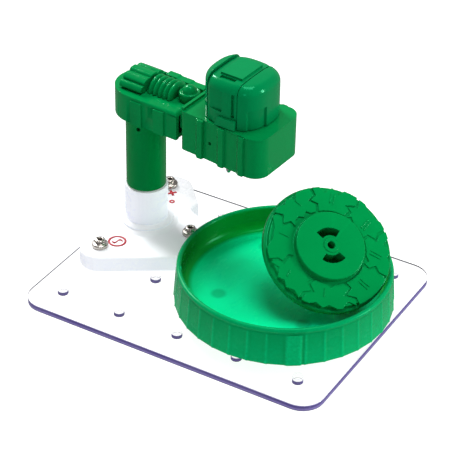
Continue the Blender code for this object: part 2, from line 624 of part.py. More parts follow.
def build_tray():
    """Round tray: skirt, soft rim, concave wall, floor and its underside."""
    floor, under = TRAY_FLOOR_TOP, TRAY_FLOOR_TOP - TRAY_FLOOR
    inner = [(39.3 + 3.1 * math.sin(a), floor + 4.2 * (1 - math.cos(a)))
             for a in (math.radians(90 * i / 4) for i in range(5))]
    rim_mid = (TRAY_R_TOP + 42.4) / 2
    rim_r = (TRAY_R_TOP - 42.4) / 2
    rim = arc(rim_mid, TRAY_RIM - rim_r, rim_r, 180, 0, 4)
    below = [(39.3 + 3.1 * math.sin(a) + 1.3, floor + 4.2 * (1 - math.cos(a)) - 1.3)
             for a in (math.radians(90 * i / 3) for i in range(3, -1, -1))]
    profile = [(0, floor)] + inner + rim
    profile += [(TRAY_R_BOTTOM, TRAY_BOTTOM), (TRAY_R_BOTTOM - 1.8, TRAY_BOTTOM),
                (43.9, below[0][1] + 1.0)]
    profile += below[1:] + [(38.0, under), (32.1, under), (32.1, TRAY_BOTTOM),
                            (30.5, TRAY_BOTTOM), (30.5, under), (0, under)]
    tray = turned("tray", profile, TRAY_AXIS, segments=54)
    reach = PITCH / math.sqrt(2)
    feet = [(sx * reach, sy * reach) for sx in (-1, 1) for sy in (-1, 1)]
    join(tray, cylinders("tray_sockets", feet, 3.6, TRAY_BOTTOM, under + 0.9, TRAY_AXIS, 16))
    cut(tray, cylinders("socket_bores", feet, 2.5, TRAY_BOTTOM - 2, under - 0.6, TRAY_AXIS, 12))
    finish(tray, TRAY_GREEN, 0.3)


def build_spinner():
    """Round disc with a raised hub and two arc windows, on a pointed stem."""
    bore, hub, step, under = 1.6, SPINNER_HUB, SPINNER_STEP, -SPINNER_T
    disc = [(bore, hub), (SPINNER_HUB_R - 0.4, hub), (SPINNER_HUB_R, hub - 0.4),
            (SPINNER_HUB_R, step), (25.2, step), (25.6, 0.0), (SPINNER_R - 0.5, 0.0),
            (SPINNER_R, -0.5), (SPINNER_R, under + 0.5), (SPINNER_R - 0.5, under),
            (bore, under)]
    plate = turned("spinner_disc", disc, SPINNER_AXIS, segments=48, closed=True)
    for name, middle in (("window_front", WINDOW_TURN), ("window_back", WINDOW_TURN + 180)):
        sector = (arc(0, 0, 7.7, middle - 41, middle + 41, 6)
                  + arc(0, 0, 4.2, middle + 41, middle - 41, 4))
        cut(plate, prism(name, sector, under - 2, hub + 2, SPINNER_AXIS))
    finish(plate, GREEN, 0.3)
    low = -SPINNER_T - GAP
    stem = [(0, low - 8.0), (bore, low - 8.0), (bore, low), (10.0, low), (10.0, low - 1.4),
            (5.0, low - 2.4), (4.4, low - 9.0), (2.0, -SPINNER_TIP + 2.6)]
    stem += arc(0, -SPINNER_TIP + 1.5, 1.5, -10, -80, 3) + [(0, -SPINNER_TIP)]
    finish(turned("spinner_stem", stem, SPINNER_AXIS, segments=20), DARK_GREEN, 0.3)


build_plate()
build_tower_base()
build_snaps()
build_column()
build_upper_arm()
build_arm_details()
build_forearm()
build_head()
build_drive()
build_tray()
build_spinner()
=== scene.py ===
"""Looks of the toy SCARA-type arm with its clear plate, tray and spinner.

Dimensions are in millimetres in the row frame, as in the part's own source.
"""
import json
import math
import random

import bmesh
import bpy
from mathutils import Matrix, Vector


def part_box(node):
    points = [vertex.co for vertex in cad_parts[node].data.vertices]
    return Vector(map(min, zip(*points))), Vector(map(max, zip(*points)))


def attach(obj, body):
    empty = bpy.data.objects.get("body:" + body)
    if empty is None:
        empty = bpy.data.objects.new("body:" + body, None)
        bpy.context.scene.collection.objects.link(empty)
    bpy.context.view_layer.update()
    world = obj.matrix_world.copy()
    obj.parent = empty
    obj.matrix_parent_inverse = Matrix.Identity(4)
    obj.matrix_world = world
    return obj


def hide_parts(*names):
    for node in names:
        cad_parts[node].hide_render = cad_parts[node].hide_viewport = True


MM = 0.001

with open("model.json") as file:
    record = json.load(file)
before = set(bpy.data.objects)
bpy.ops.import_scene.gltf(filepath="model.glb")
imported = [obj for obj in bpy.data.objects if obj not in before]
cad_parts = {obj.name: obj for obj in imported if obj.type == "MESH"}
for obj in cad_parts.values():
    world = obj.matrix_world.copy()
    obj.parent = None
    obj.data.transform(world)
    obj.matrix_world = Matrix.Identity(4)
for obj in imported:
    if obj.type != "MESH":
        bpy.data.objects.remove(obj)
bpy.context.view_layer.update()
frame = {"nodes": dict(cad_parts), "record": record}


# ----------------------------------------------------------- places taken from the frame

def box_mm(node):
    """Lowest and highest corner of a CAD node."""
    low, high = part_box(node)
    return Vector(low) / MM, Vector(high) / MM


def middle(node):
    low, high = box_mm(node)
    return (low + high) / 2


COLUMN = middle("column_tube")
COLUMN_LOW, COLUMN_HIGH = box_mm("column_tube")
HUB = middle("spindle")
ARM_TURN = math.atan2(HUB.y - COLUMN.y, HUB.x - COLUMN.x)
TRAY = middle("tray")
TRAY_LOW = box_mm("tray")[0]

PITCH = 27.94
POST_TOP = 6.0                  # of the plate's posts
BASE_TOP, SLEEVE_TOP = 10.3, 29.6
COLUMN_BORE, COLUMN_PLUG, PLUG_FOOT = 5.2, 7.4, 65.4
WALL = 1.8                      # of both housings
UPPER_BOTTOM, UPPER_TOP, UPPER_HALF, UPPER_END = 65.7, 78.2, 12.8, 25.0
PAD = 0.6                       # how far the upper arm's panels stand out
DECK = 78.5                     # foot of the pieces on top of the upper arm
ELBOW = 22.5                    # distances along the arm are from the column's axis
FORE_START, FORE_END, FORE_BOTTOM, FORE_TOP = 27.3, 67.8, 63.0, 81.0
DIMPLE = (42.5, 71.2)           # in the forearm's front: distance along the arm, height
HEAD, HEAD_R, HEAD_TOP = 48.0, 13.35, 100.7     # the motor's cap
CAP_FOOT = FORE_TOP + 0.35
TRAY_R_TOP, TRAY_R_BOTTOM, TRAY_R_INSIDE = 44.6, 45.9, 42.4
TRAY_FLOOR, TRAY_FLOOR_T, TRAY_RIM = 13.0, 1.8, 23.2
SOCKET = PITCH / math.sqrt(2)   # the tray's four sockets, from its centre along X and Y
SPINNER_AT = (42.9, 4.2, 34.4)  # centre of the rim's upper face
SPINNER_TILT, SPINNER_TOWARDS = math.radians(36.2), math.radians(-32.6)
SPINNER_R, SPINNER_T, SPINNER_HUB_R, SPINNER_HUB, SPINNER_STEP = 27.2, 2.8, 14.7, 4.5, 1.6
WINDOW_TURN = -10.5             # degrees from the disc's lowest point

ROW = Matrix.Identity(4)


def place(x, y, z, turn=0.0, tilt=0.0):
    """A frame of its own at a point in millimetres, turned about Z and tilted about Y."""
    spot = Matrix.Translation(Vector((x, y, z)) * MM)
    return spot @ Matrix.Rotation(turn, 4, "Z") @ Matrix.Rotation(tilt, 4, "Y")


ARM = place(COLUMN.x, COLUMN.y, 0, ARM_TURN)
TRAY_PLACE = place(TRAY.x, TRAY.y, 0)
SPINNER = place(*SPINNER_AT, SPINNER_TOWARDS, SPINNER_TILT)


# ------------------------------------------------------------------------- mesh helpers

def new_object(name, bm, where=ROW):
    """An object from a bmesh in millimetres."""
    bmesh.ops.scale(bm, vec=(MM, MM, MM), verts=bm.verts)
    bmesh.ops.recalc_face_normals(bm, faces=bm.faces)
    mesh = bpy.data.meshes.new(name)
    bm.to_mesh(mesh)
    bm.free()
    mesh.shade_smooth()
    obj = bpy.data.objects.new(name, mesh)
    bpy.context.scene.collection.objects.link(obj)
    obj.matrix_world = where
    return obj


def lathe(name, profile, where=ROW, segments=96, closed=False, radius=None):
    """Turned solid from (r, z) points; radius(r, angle, z) may make it out of round."""
    bm = bmesh.new()
    rings = []
    for r, z in profile:
        if r <= 0:
            rings.append([bm.verts.new((0, 0, z))])
            continue
        ring = []
        for i in range(segments):
            angle = 2 * math.pi * i / segments
            reach = radius(r, angle, z) if radius else r
            ring.append(bm.verts.new((reach * math.cos(angle), reach * math.sin(angle), z)))
        rings.append(ring)
    pairs = list(zip(rings, rings[1:]))
    if closed:
        pairs.append((rings[-1], rings[0]))
    for first, second in pairs:
        for i in range(segments):
            k = (i + 1) % segments
            corners = [first[i % len(first)], first[k % len(first)],
                       second[k % len(second)], second[i % len(second)]]
            unique = list(dict.fromkeys(corners))
            if len(unique) > 2:
                bm.faces.new(unique)
    return new_object(name, bm, where)


def prism(name, outline, low, high, where=ROW, along="Z", soft_top=0.0):
    """Flat outline extruded along Z, or along X with the outline's x and y as Y and Z."""
    bm = bmesh.new()
    bottom = [bm.verts.new((x, y, low)) for x, y in outline]
    top = [bm.verts.new((x, y, high)) for x, y in outline]
    count = len(outline)
    for i in range(count):
        k = (i + 1) % count
        bm.faces.new((bottom[i], bottom[k], top[k], top[i]))
    bm.faces.new(bottom)
    lid = bm.faces.new(top)
    if soft_top > 0:
        bmesh.ops.bevel(bm, geom=list(lid.edges), offset=soft_top, segments=5, profile=0.5,
                        affect="EDGES", clamp_overlap=True)
    if along == "X":
        swap = Matrix(((0, 0, 1), (1, 0, 0), (0, 1, 0)))
        bmesh.ops.transform(bm, matrix=swap.to_4x4(), verts=bm.verts)
    return new_object(name, bm, where)


def block(name, low, high, where=ROW):
    """Box between two corners."""
    (x0, y0, z0), (x1, y1, z1) = low, high
    return prism(name, [(x0, y0), (x1, y0), (x1, y1), (x0, y1)], z0, z1, where)


def arc(cx, cy, radius, start, end, steps):
    """Points on an arc, angles in degrees."""
    return [(cx + radius * math.cos(math.radians(start + (end - start) * i / steps)),
             cy + radius * math.sin(math.radians(start + (end - start) * i / steps)))
            for i in range(steps + 1)]


def rounded(corners, steps=8):
    """Closed outline through corners (x, y, fillet radius)."""
    outline = []
    for i, (x, y, radius) in enumerate(corners):
        here = Vector((x, y))
        if radius <= 0:
            outline.append((x, y))
            continue
        back = (Vector(corners[i - 1][:2]) - here).normalized()
        ahead = (Vector(corners[(i + 1) % len(corners)][:2]) - here).normalized()
        half = back.angle(ahead) / 2
        centre = here + (back + ahead).normalized() * (radius / math.sin(half))
        first = here + back * (radius / math.tan(half)) - centre
        last = here + ahead * (radius / math.tan(half)) - centre
        turn = first.angle_signed(last)
        for k in range(steps + 1):
            outline.append(tuple(centre + Matrix.Rotation(-turn * k / steps, 2) @ first))
    return outline


def mirrored(side):
    """A side's corners (x, y, radius) followed by the same corners across the X axis."""
    return list(side) + [(x, -y, r) for x, y, r in reversed(side)]


def combine(obj, other, operation):
    """Boolean with a second object, which is used up."""
    step = obj.modifiers.new(operation, "BOOLEAN")
    step.operation = operation
    step.solver = "EXACT"
    step.object = other
    bpy.context.view_layer.update()
    solid = obj.evaluated_get(bpy.context.evaluated_depsgraph_get())
    mesh = bpy.data.meshes.new_from_object(solid)
    obj.modifiers.clear()
    old = obj.data
    obj.data = mesh
    bpy.data.meshes.remove(old)
    bpy.data.objects.remove(other, do_unlink=True)
    mesh.shade_smooth()
    return obj


def cut(obj, *others):
    for other in others:
        combine(obj, other, "DIFFERENCE")
    return obj


def join(obj, *others):
    for other in others:
        combine(obj, other, "UNION")
    return obj


def soften(obj, width, segments=2, angle=30.0):
    """Round the edges a little, as a mould does."""
    bevel = obj.modifiers.new("soft_edges", "BEVEL")
    bevel.width = width * MM
    bevel.segments = segments
    bevel.limit_method = "ANGLE"
    bevel.angle_limit = math.radians(angle)
    bevel.harden_normals = True
    bevel.use_clamp_overlap = True
    normals = obj.modifiers.new("even_normals", "WEIGHTED_NORMAL")
    normals.weight = 100
    normals.keep_sharp = True
    return obj


def fit(obj, body, slot, mat, *nodes):
    """Give a new piece its material, the body it rides on and the nodes it stands for."""
    obj.data.materials.clear()
    obj.data.materials.append(mat)
    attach(obj, body)
    if nodes:
        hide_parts(*nodes)
    return obj


# ---------------------------------------------------------------------------- materials

def shader_nodes(name):
    """A new material with its nodes, its links and its Principled shader."""
    mat = bpy.data.materials.new(name)
    mat.use_nodes = True
    nodes = mat.node_tree.nodes
    links = mat.node_tree.links
    return mat, nodes, links, nodes["Principled BSDF"]


def noise(nodes, links, scale, detail=3.0, rough=0.5, stretch=(1, 1, 1)):
    """Noise in the object's own millimetre-scale coordinates."""
    mapping = nodes.new("ShaderNodeMapping")
    mapping.inputs["Scale"].default_value = stretch
    texture = nodes.new("ShaderNodeTexNoise")
    texture.inputs["Scale"].default_value = scale
    texture.inputs["Detail"].default_value = detail
    texture.inputs["Roughness"].default_value = rough
    links.new(own_place(nodes), mapping.inputs["Vector"])
    links.new(mapping.outputs["Vector"], texture.inputs["Vector"])
    return texture.outputs["Fac"]


def ramp(nodes, links, value, stops):
    """Colour ramp from (position, colour) stops."""
    node = nodes.new("ShaderNodeValToRGB")
    links.new(value, node.inputs["Fac"])
    elements = node.color_ramp.elements
    for element, (position, colour) in ((elements[0], stops[0]), (elements[-1], stops[-1])):
        element.position = position
        element.color = (*colour, 1.0)
    for position, colour in stops[1:-1]:
        elements.new(position).color = (*colour, 1.0)
    return node.outputs["Color"]


def remap(nodes, links, value, low, high, start=0.3, stop=0.7):
    """A value between start and stop spread over low to high."""
    node = nodes.new("ShaderNodeMapRange")
    node.inputs["From Min"].default_value = start
    node.inputs["From Max"].default_value = stop
    node.inputs["To Min"].default_value = low
    node.inputs["To Max"].default_value = high
    links.new(value, node.inputs["Value"])
    return node.outputs["Result"]


def bump(nodes, links, shader, layers):
    """Stacked bumps: (height output, strength, distance in millimetres)."""
    normal = None
    for height, strength, distance in layers:
        node = nodes.new("ShaderNodeBump")
        node.inputs["Strength"].default_value = strength
        node.inputs["Distance"].default_value = distance * MM
        links.new(height, node.inputs["Height"])
        if normal:
            links.new(normal, node.inputs["Normal"])
        normal = node.outputs["Normal"]
    links.new(normal, shader.inputs["Normal"])


def math_node(nodes, links, operation, first, second=None):
    """Math node on one or two values of other nodes."""
    node = nodes.new("ShaderNodeMath")
    node.operation = operation
    links.new(first, node.inputs[0])
    if second:
        links.new(second, node.inputs[1])
    return node.outputs["Value"]


def blend(nodes, links, factor, first, second, mode="MIX"):
    """Mix of two colours; each input is an output to link or a constant."""
    node = nodes.new("ShaderNodeMix")
    node.data_type = "RGBA"
    node.blend_type = mode
    for name, value in (("Factor", factor), ("A", first), ("B", second)):
        if isinstance(value, (int, float)):
            node.inputs[name].default_value = value
        elif isinstance(value, tuple):
            node.inputs[name].default_value = (*value, 1.0)
        else:
            links.new(value, node.inputs[name])
    return node.outputs["Result"]


def own_place(nodes):
    """Coordinates in the object's own frame."""
    return nodes.new("ShaderNodeTexCoord").outputs["Object"]


def shade(colour, factor):
    return tuple(min(1.0, c * factor) for c in colour)


def moulded(name, colour, roughness=0.22, glow=0.0, wear_and_highlight=1.18, mottle=0.06,
            tint=(1.0, 1.0, 1.0), level=0.5, tone=None, painted_glow=0.0):
    """Glossy moulded plastic: flow mottling, faint sink ripples, fine grain, edges lightened as
    rubbed wear and as painted highlight, an optional tone that paints shade, and an optional
    painted glow of its own colour.
    """
    mat, nodes, links, shader = shader_nodes(name)
    flow = noise(nodes, links, 70, 4, 0.55, (1.0, 1.0, 0.45))
    base = ramp(nodes, links, flow, [(0.25, shade(colour, 1 - mottle)), (0.55, colour),
                                     (0.8, shade(colour, 1 + mottle))])
    if tone:
        base = tone(nodes, links, base)
    geometry = nodes.new("ShaderNodeNewGeometry")
    # Rubbed edges and painted highlight: pointy edges, broken up by scuff noise, are lightened
    # towards a brighter copy of the colour.
    edge = remap(nodes, links, geometry.outputs["Pointiness"], 0.0, 0.55, 0.51, 0.58)
    scuff = noise(nodes, links, 900, 3, 0.6)
    worn_and_lit_edge = math_node(nodes, links, "MULTIPLY", edge, remap(nodes, links, scuff, 0.3, 1.0))
    links.new(blend(nodes, links, worn_and_lit_edge, base, shade(colour, wear_and_highlight)),
              shader.inputs["Base Color"])
    smear = noise(nodes, links, 260, 4, 0.6, (1.0, 0.4, 1.0))
    links.new(remap(nodes, links, smear, roughness - 0.05, roughness + 0.10),
              shader.inputs["Roughness"])
    ripple = noise(nodes, links, 140, 2, 0.4)
    grain = noise(nodes, links, 5200, 2, 0.5)
    bump(nodes, links, shader, [(ripple, 0.06, 0.35), (grain, 0.05, 0.03)])
    shader.inputs["IOR"].default_value = 1.5
    shader.inputs["Specular Tint"].default_value = (*tint, 1.0)
    shader.inputs["Specular IOR Level"].default_value = level
    if glow > 0:
        shader.inputs["Subsurface Weight"].default_value = glow
        shader.inputs["Subsurface Radius"].default_value = (0.3, 1.0, 0.5)
        shader.inputs["Subsurface Scale"].default_value = 2.0 * MM
    # Painted glow: the plastic emits its own colour, though it is no lamp.
    if painted_glow > 0:
        links.new(base, shader.inputs["Emission Color"])
        shader.inputs["Emission Strength"].default_value = painted_glow
    return mat


def white_painted_shade(nodes, links, base):
    """Painted shade: the white plastic is painted greyer in its upright faces and towards the
    back.
    """
    facing = nodes.new("ShaderNodeSeparateXYZ")
    links.new(nodes.new("ShaderNodeNewGeometry").outputs["Normal"], facing.inputs["Vector"])
    upward = remap(nodes, links, facing.outputs["Z"], 0.0, 1.0, 0.1, 0.95)
    spot = nodes.new("ShaderNodeSeparateXYZ")
    links.new(own_place(nodes), spot.inputs["Vector"])
    # Painted shade: darker towards the back, and upright faces greyer than upward ones.
    back = remap(nodes, links, spot.outputs["Y"], 1.0, 0.46, 12 * MM, 40 * MM)
    wall_shade = ramp(nodes, links, upward, [(0.0, (0.91, 0.93, 0.98)), (1.0, (1, 1, 1))])
    lit = blend(nodes, links, 1.0, base, wall_shade, "MULTIPLY")
    return blend(nodes, links, 1.0, lit, back, "MULTIPLY")


def tray_painted_shade(nodes, links, base):
    """Painted shade on the translucent tray: its floor over the plate keeps its pale colour,
    its wall, rim and skirt are painted darker, and the floor is painted dark over the four
    sockets as their shadow.
    """
    coords = own_place(nodes)
    flat = nodes.new("ShaderNodeVectorMath")
    flat.operation = "MULTIPLY"
    flat.inputs[1].default_value = (1, 1, 0)
    links.new(coords, flat.inputs[0])
    reach = nodes.new("ShaderNodeVectorMath")
    reach.operation = "LENGTH"
    links.new(flat.outputs["Vector"], reach.inputs[0])
    # Painted shade: the wall, rim and skirt are darker than the floor, by distance from the
    # centre.
    zone = remap(nodes, links, reach.outputs["Value"], 0.0, 1.0, 30 * MM, 46 * MM)
    floor = [(0.0, (1.0, 1.0, 1.0)), (0.48, (1.0, 0.92, 0.85))]
    wall = [(0.62, (1.0, 0.40, 0.10)), (0.77, (1.0, 0.30, 0.06))]
    skirt = [(0.82, (1.0, 0.30, 0.22)), (0.92, (1.0, 0.36, 0.26)), (1.0, (1.0, 0.44, 0.32))]
    shade_tones = ramp(nodes, links, zone, floor + wall + skirt)
    result = blend(nodes, links, 1.0, base, shade_tones, "MULTIPLY")
    # Painted shadow of the four sockets, seen through the floor.
    for sx in (-1, 1):
        for sy in (-1, 1):
            away = nodes.new("ShaderNodeVectorMath")
            away.operation = "DISTANCE"
            away.inputs[1].default_value = (sx * SOCKET * MM, sy * SOCKET * MM, TRAY_FLOOR * MM)
            links.new(coords, away.inputs[0])
            dark = remap(nodes, links, away.outputs["Value"], 0.45, 0.0, 2.2 * MM, 3.9 * MM)
            result = blend(nodes, links, dark, result, (0.0, 0.22, 0.06))
    return result


def metal(name, colour, roughness):
    """Plated or brushed metal with fine turning marks and a few smudges."""
    mat, nodes, links, shader = shader_nodes(name)
    tone = noise(nodes, links, 500, 4, 0.6)
    links.new(ramp(nodes, links, tone, [(0.3, shade(colour, 0.78)), (0.6, colour),
                                        (0.85, shade(colour, 1.12))]),
              shader.inputs["Base Color"])
    smudge = noise(nodes, links, 300, 3, 0.5)
    links.new(remap(nodes, links, smudge, roughness - 0.06, roughness + 0.12),
              shader.inputs["Roughness"])
    marks = noise(nodes, links, 3000, 2, 0.5, (0.2, 0.2, 3.0))
    bump(nodes, links, shader, [(marks, 0.03, 0.02)])
    shader.inputs["Metallic"].default_value = 1.0
    return mat


def grey(level):
    return (level, level, level)


def clear_plastic(name):
    """Water-clear acrylic: almost nothing on its faces, violet in its cut edges, with dark and
    violet bands by height, opaque bands and darker inner faces painted in as refraction.
    """
    mat, nodes, links, shader = shader_nodes(name)
    geometry = nodes.new("ShaderNodeNewGeometry")
    split = nodes.new("ShaderNodeSeparateXYZ")
    links.new(geometry.outputs["Normal"], split.inputs["Vector"])
    upright = math_node(nodes, links, "ABSOLUTE", split.outputs["Z"])
    side = remap(nodes, links, upright, 1.0, 0.0, 0.15, 0.9)
    spot = nodes.new("ShaderNodeSeparateXYZ")
    links.new(own_place(nodes), spot.inputs["Vector"])
    height = remap(nodes, links, spot.outputs["Z"], 0.0, 1.0, 0.0, POST_TOP * MM)
    # Painted refraction: dark and violet bands up the posts and cut edges, and dark inner
    # faces.
    refraction_bands = ramp(nodes, links, height, [
        (0.0, (0.02, 0.015, 0.09)), (0.10, (0.22, 0.18, 0.46)), (0.20, (0.12, 0.09, 0.30)),
        (0.34, (0.05, 0.035, 0.18)), (0.42, (0.24, 0.20, 0.48)), (0.50, (0.02, 0.015, 0.09)),
        (0.58, (0.14, 0.11, 0.32)), (0.70, (0.06, 0.045, 0.18)), (0.80, (0.30, 0.27, 0.50))])
    inner_face = geometry.outputs["Backfacing"]
    tint = blend(nodes, links, inner_face, refraction_bands, (0.03, 0.028, 0.05))
    links.new(blend(nodes, links, side, (0.97, 0.96, 1.0), tint), shader.inputs["Base Color"])

    # Painted refraction: the side faces are opaque in some height bands and clear in others.
    clear, solid = grey(0.05), grey(0.95)
    outside = ramp(nodes, links, height, [(0.0, solid), (0.76, solid), (0.82, clear),
                                          (0.94, clear), (1.0, grey(0.50))])
    clear = grey(0.03)
    inside = ramp(nodes, links, height, [(0.0, clear), (0.30, clear), (0.34, solid),
                                         (0.51, solid), (0.54, clear), (1.0, clear)])
    seen = blend(nodes, links, inner_face, outside, inside)
    haze = remap(nodes, links, noise(nodes, links, 60, 3, 0.5), 0.02, 0.05)
    cover = math_node(nodes, links, "MULTIPLY", side, seen)
    links.new(math_node(nodes, links, "ADD", cover, haze), shader.inputs["Alpha"])
    links.new(remap(nodes, links, noise(nodes, links, 200, 3, 0.5), 0.03, 0.09),
              shader.inputs["Roughness"])
    scratch = noise(nodes, links, 1500, 2, 0.5, (1.0, 0.08, 1.0))
    bump(nodes, links, shader, [(scratch, 0.03, 0.03)])
    shader.inputs["IOR"].default_value = 1.49
    return mat


def ink(name, colour):
    """Printed ink with small pinholes and soft density changes."""
    mat, nodes, links, shader = shader_nodes(name)
    spots = noise(nodes, links, 4000, 3, 0.6)
    links.new(ramp(nodes, links, spots, [(0.25, shade(colour, 0.8)), (0.7, colour),
                                         (0.9, shade(colour, 1.5))]),
              shader.inputs["Base Color"])
    links.new(remap(nodes, links, spots, 0.35, 0.5), shader.inputs["Roughness"])
    bump(nodes, links, shader, [(spots, 0.1, 0.01)])
    return mat


SHEEN = (0.04, 1.0, 0.50)       # the green plastics reflect mostly their own colour
GREEN = moulded("green_abs", (0.0, 0.185, 0.045), 0.12, tint=SHEEN, level=0.22)
HEAD_GREEN = moulded("head_green_abs", (0.0, 0.180, 0.052), 0.12, tint=SHEEN, level=0.22)
DARK_GREEN = moulded("column_green_abs", (0.0, 0.170, 0.036), 0.12, tint=SHEEN, level=0.22)
DISC_GREEN = moulded("disc_green_abs", (0.0, 0.232, 0.052), 0.15, tint=SHEEN, level=0.22)
TRAY_GREEN = moulded("tray_green_pp", (0.0, 0.76, 0.31), 0.22, glow=0.08, tint=SHEEN,
                     level=0.16, tone=tray_painted_shade)
# The white plastic gets painted shade from its tone and a painted glow in its own colour.
WHITE = moulded("white_abs", (0.90, 0.91, 0.94), 0.26, wear_and_highlight=1.0, mottle=0.015, level=0.3,
                painted_glow=0.16, tone=white_painted_shade)
NYLON = moulded("natural_nylon", (0.80, 0.79, 0.72), 0.5, mottle=0.06)
BLACK = moulded("black_plastic", (0.02, 0.02, 0.022), 0.45, wear_and_highlight=2.5)
NICKEL = metal("nickel_plate", (0.50, 0.46, 0.42), 0.26)
STEEL = metal("plain_steel", (0.52, 0.53, 0.55), 0.28)
BRASS = metal("plain_brass", (0.72, 0.52, 0.22), 0.3)
CLEAR = clear_plastic("clear_acrylic")
RED_INK = ink("red_ink", (0.42, 0.0, 0.012))

BY_SLOT = {
    "clear_plate": CLEAR, "white_base": WHITE, "green": GREEN, "dark_green": DARK_GREEN,
    "tray_green": TRAY_GREEN, "nickel": NICKEL, "steel": STEEL, "brass": BRASS,
    "nylon": NYLON, "black_plastic": BLACK,
}


def dress_nodes():
    """Every CAD node gets the finish of its slot."""
    for part in frame["record"]["subparts"]:
        obj = frame["nodes"][part["node"]]
        obj.data.materials.clear()
        obj.data.materials.append(BY_SLOT[part["material_slot"]])


# ---------------------------------------------------------------------- plate and tower

def build_studs():
    """Snap studs with a rolled flange, a waist, a domed button and its hole."""
    profile = [(1.0, 11.0), (1.0, 13.55)] + arc(1.3, 13.75, 0.28, 150, 60, 3)
    profile += arc(1.75, 13.45, 0.52, 75, -60, 6) + arc(2.45, 12.75, 0.5, 170, 240, 3)
    profile += [(2.9, 12.25)] + arc(3.05, 11.6, 0.52, 70, -20, 5)
    profile += [(3.55, 10.95), (3.5, BASE_TOP + 0.3), (1.0, BASE_TOP + 0.3)]
    for name in ("left", "back", "right"):
        low, high = box_mm("snap_stud_" + name)
        at = place((low.x + high.x) / 2, (low.y + high.y) / 2, 0)
        stud = lathe("stud_" + name, profile, at, segments=48, closed=True)
        fit(stud, "base", "nickel", NICKEL, "snap_stud_" + name)
        stem = lathe("stud_stem_" + name, [(0, BASE_TOP + 0.32), (1.15, BASE_TOP + 0.32),
                                           (1.15, 8.0), (0, 8.0)], at, segments=32)
        fit(stem, "base", "nickel", NICKEL)


def ring(name, inner, outer, low, high, where):
    return lathe(name, [(inner, high), (outer, high), (outer, low), (inner, low)], where,
                 segments=64, closed=True)


def build_marks():
    low, high = BASE_TOP - 0.05, BASE_TOP + 0.15
    thick = 0.55
    left, back = middle("snap_stud_left"), middle("snap_stud_back")
    spot = place(left.x + 4.28, left.y + 6.77, 0, math.radians(30))
    fit(ring("mark_ring", 3.05, 4.0, low, high, spot), "base", None, RED_INK)
    wave = [(2.3 * (i / 12 - 1), 1.1 * math.sin(math.pi * (i / 12 - 1))) for i in range(25)]
    outline = [(x, y + thick) for x, y in wave] + [(x, y - thick) for x, y in reversed(wave)]
    fit(prism("mark_wave", outline, low, high, spot), "base", None, RED_INK)
    spot = place(back.x + 4.08, back.y - 4.81, 0, math.radians(50))
    reach = 2.2
    cross = [(-reach, -thick), (-thick, -thick), (-thick, -reach), (thick, -reach),
             (thick, -thick), (reach, -thick), (reach, thick), (thick, thick), (thick, reach),
             (-thick, reach), (-thick, thick), (-reach, thick)]
    fit(prism("mark_cross", cross, low, high, spot), "base", None, RED_INK)
    spot = place(back.x + 7.78, back.y - 10.61, 0)
    fit(ring("mark_small_ring", 0.55, 1.25, low, high, spot), "base", None, RED_INK)


def build_column():
    """Column tube with its fine shoulder line and the hole for the grub screw under the arm."""
    top = COLUMN_HIGH.z
    radius = (COLUMN_HIGH.x - COLUMN_LOW.x) / 2
    foot = SLEEVE_TOP + 0.3
    profile = [(COLUMN_BORE, top), (COLUMN_PLUG, top), (COLUMN_PLUG, PLUG_FOOT),
               (radius - 0.2, PLUG_FOOT), (radius, PLUG_FOOT - 0.2), (radius, foot + 0.25),
               (radius - 0.25, foot), (7.1, foot), (7.1, 8.4), (6.4, 8.4), (6.4, 7.3),
               (7.1, 7.3), (7.1, 6.6), (COLUMN_BORE, 6.6)]
    tube = lathe("column", profile, ARM, closed=True)
    sunk = lathe("grub_hole", [(0, 0), (0.85, 0), (0.85, 4), (0, 4)], ARM, segments=24)
    sunk.matrix_world = (ARM @ Matrix.Rotation(math.radians(-75), 4, "Z")
                         @ Matrix.Translation(Vector((radius + 1.2, 0, 60.4)) * MM)
                         @ Matrix.Rotation(math.radians(-90), 4, "Y"))
    cut(tube, sunk)
    fit(soften(tube, 0.15), "upper_arm", "dark_green", DARK_GREEN, "column_tube")


# --------------------------------------------------------------------- the two housings

def ribs(shell, spans, low, high):
    """Join ribs (start, full, stop, inner and outer half width) to both of a shell's sides."""
    for start, full, stop, inner, outer in spans:
        for sign in (-1, 1):
            plan = [(start, inner - 0.5), (start, inner), (full, outer), (stop, outer),
                    (stop + 0.3, inner - 0.5)]
            join(shell, prism("rib", [(x, sign * y) for x, y in plan], low, high, ARM,
                              soft_top=0.6))


def build_upper_arm():
    """Round-ended housing, open towards the elbow, with three raised panels a side."""
    def outline(inset, end):
        half = UPPER_HALF - inset
        return arc(0, 0, half, 90, 270, 48) + [(end, -half), (end, half)]

    shell = prism("upper_housing", outline(0, UPPER_END), UPPER_BOTTOM, UPPER_TOP, ARM,
                  soft_top=1.8)
    panels = [(start, start + 0.6, stop, UPPER_HALF, UPPER_HALF + PAD)
              for start, stop in ((1.4, 7.4), (12.9, 18.7), (20.3, 24.6))]
    ribs(shell, panels, UPPER_BOTTOM + 0.1, UPPER_TOP - 1.4)
    cut(shell, prism("upper_hollow", outline(WALL, UPPER_END + 5), 60, UPPER_TOP - WALL, ARM))
    fit(soften(shell, 0.35, 3, 35), "upper_arm", "green", GREEN, "upper_arm_shell")


